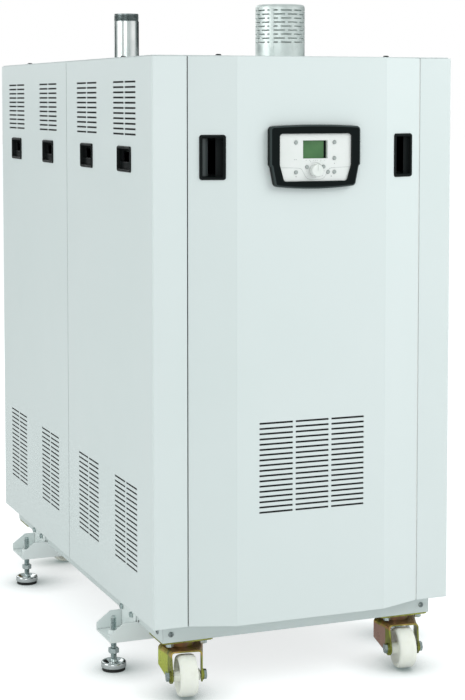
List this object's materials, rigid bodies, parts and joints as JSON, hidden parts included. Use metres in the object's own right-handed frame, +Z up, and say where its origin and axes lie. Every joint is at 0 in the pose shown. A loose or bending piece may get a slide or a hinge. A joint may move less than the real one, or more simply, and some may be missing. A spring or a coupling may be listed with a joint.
{
  "type": "cased floor-standing boiler on casters",
  "caption": "White sheet-metal boiler cabinet with faceted front, slotted vents, control unit, top pipe and air inlet, on swivel casters and levelling feet.",
  "frame": {"origin": "on the floor under the middle of the overall box", "axes": "+Z up, the front faces -Y, +X is to the right seen from the front"},
  "size_m": [0.684, 1.2186, 1.34],
  "materials": {
    "white_powder_coat": "satin powder coat",
    "body_jacket": "black insulation facing",
    "black_plastic": "satin black moulding",
    "face_plastic": "light matt moulding",
    "display_glass": "green liquid crystal window",
    "button_plastic": "matt grey moulding",
    "knob_plastic": "satin white moulding",
    "galvanised_steel": "galvanised sheet",
    "pipe_steel": "bright plated pipe",
    "yellow_zinc": "yellow passivated zinc",
    "bright_zinc": "bright zinc",
    "nylon": "white nylon",
    "chrome": "chromed",
    "rubber": "black rubber"
  },
  "bodies": {
    "root": {"base_side_rails": "white_powder_coat", "base_end_rails": "white_powder_coat", "boiler_body": "body_jacket", "left_front_side_panel": "white_powder_coat", "left_rear_side_panel": "white_powder_coat", "right_front_side_panel": "white_powder_coat", "right_rear_side_panel": "white_powder_coat", "front_panel": "white_powder_coat", "top_panel": "white_powder_coat", "rear_panel": "white_powder_coat", "left_side_handle_cups": "black_plastic", "right_side_handle_cups": "black_plastic", "front_handle_cups": "black_plastic", "control_bezel": "black_plastic", "control_face": "face_plastic", "display_screen": "display_glass", "control_buttons": "button_plastic", "air_inlet": "galvanised_steel", "flow_pipe": "pipe_steel", "return_pipe": "pipe_steel", "flue_socket": "galvanised_steel", "left_foot_brackets": "white_powder_coat", "right_foot_brackets": "white_powder_coat", "caster_plates": "yellow_zinc"},
    "control_knob": {"control_knob": "knob_plastic"},
    "front_left_caster": {"front_left_caster_fork": "yellow_zinc", "front_left_caster_axle": "bright_zinc"},
    "front_left_wheel": {"front_left_caster_wheel": "nylon"},
    "front_left_foot": {"front_left_foot": "chrome", "front_left_foot_sole": "rubber"},
    "front_right_caster": {"front_right_caster_fork": "yellow_zinc", "front_right_caster_axle": "bright_zinc"},
    "front_right_wheel": {"front_right_caster_wheel": "nylon"},
    "front_right_foot": {"front_right_foot": "chrome", "front_right_foot_sole": "rubber"},
    "rear_left_caster": {"rear_left_caster_fork": "yellow_zinc", "rear_left_caster_axle": "bright_zinc"},
    "rear_left_wheel": {"rear_left_caster_wheel": "nylon"},
    "rear_left_foot": {"rear_left_foot": "chrome", "rear_left_foot_sole": "rubber"},
    "rear_right_caster": {"rear_right_caster_fork": "yellow_zinc", "rear_right_caster_axle": "bright_zinc"},
    "rear_right_wheel": {"rear_right_caster_wheel": "nylon"},
    "rear_right_foot": {"rear_right_foot": "chrome", "rear_right_foot_sole": "rubber"}
  },
  "joints": [
    {"name": "control_knob_turn", "type": "hinge", "parent": "root", "child": "control_knob", "pos_m": [0, -0.59675, 1.0015], "axis": [0, -1, 0], "continuous": true},
    {"name": "front_left_caster_swivel", "type": "hinge", "parent": "root", "child": "front_left_caster", "pos_m": [-0.2305, -0.48575, 0.09], "axis": [0, 0, 1], "continuous": true},
    {"name": "front_left_wheel_spin", "type": "hinge", "parent": "front_left_caster", "child": "front_left_wheel", "pos_m": [-0.23789, -0.5352, 0.042], "axis": [0.989, -0.1478, 0], "continuous": true},
    {"name": "front_left_foot_screw", "type": "slide", "parent": "root", "child": "front_left_foot", "axis": [0, 0, 1], "range_m": [-0.02, 0.018]},
    {"name": "front_right_caster_swivel", "type": "hinge", "parent": "root", "child": "front_right_caster", "pos_m": [0.2305, -0.48575, 0.09], "axis": [0, 0, 1], "continuous": true},
    {"name": "front_right_wheel_spin", "type": "hinge", "parent": "front_right_caster", "child": "front_right_wheel", "pos_m": [0.22311, -0.5352, 0.042], "axis": [0.989, -0.1478, 0], "continuous": true},
    {"name": "front_right_foot_screw", "type": "slide", "parent": "root", "child": "front_right_foot", "axis": [0, 0, 1], "range_m": [-0.02, 0.018]},
    {"name": "rear_left_caster_swivel", "type": "hinge", "parent": "root", "child": "rear_left_caster", "pos_m": [-0.2305, 0.49425, 0.09], "axis": [0, 0, 1], "continuous": true},
    {"name": "rear_left_wheel_spin", "type": "hinge", "parent": "rear_left_caster", "child": "rear_left_wheel", "pos_m": [-0.1805, 0.49425, 0.042], "axis": [0, 1, 0], "continuous": true},
    {"name": "rear_left_foot_screw", "type": "slide", "parent": "root", "child": "rear_left_foot", "axis": [0, 0, 1], "range_m": [-0.02, 0.018]},
    {"name": "rear_right_caster_swivel", "type": "hinge", "parent": "root", "child": "rear_right_caster", "pos_m": [0.2305, 0.49425, 0.09], "axis": [0, 0, 1], "continuous": true},
    {"name": "rear_right_wheel_spin", "type": "hinge", "parent": "rear_right_caster", "child": "rear_right_wheel", "pos_m": [0.2805, 0.49425, 0.042], "axis": [0, 1, 0], "continuous": true},
    {"name": "rear_right_foot_screw", "type": "slide", "parent": "root", "child": "rear_right_foot", "axis": [0, 0, 1], "range_m": [-0.02, 0.018]}
  ]
}
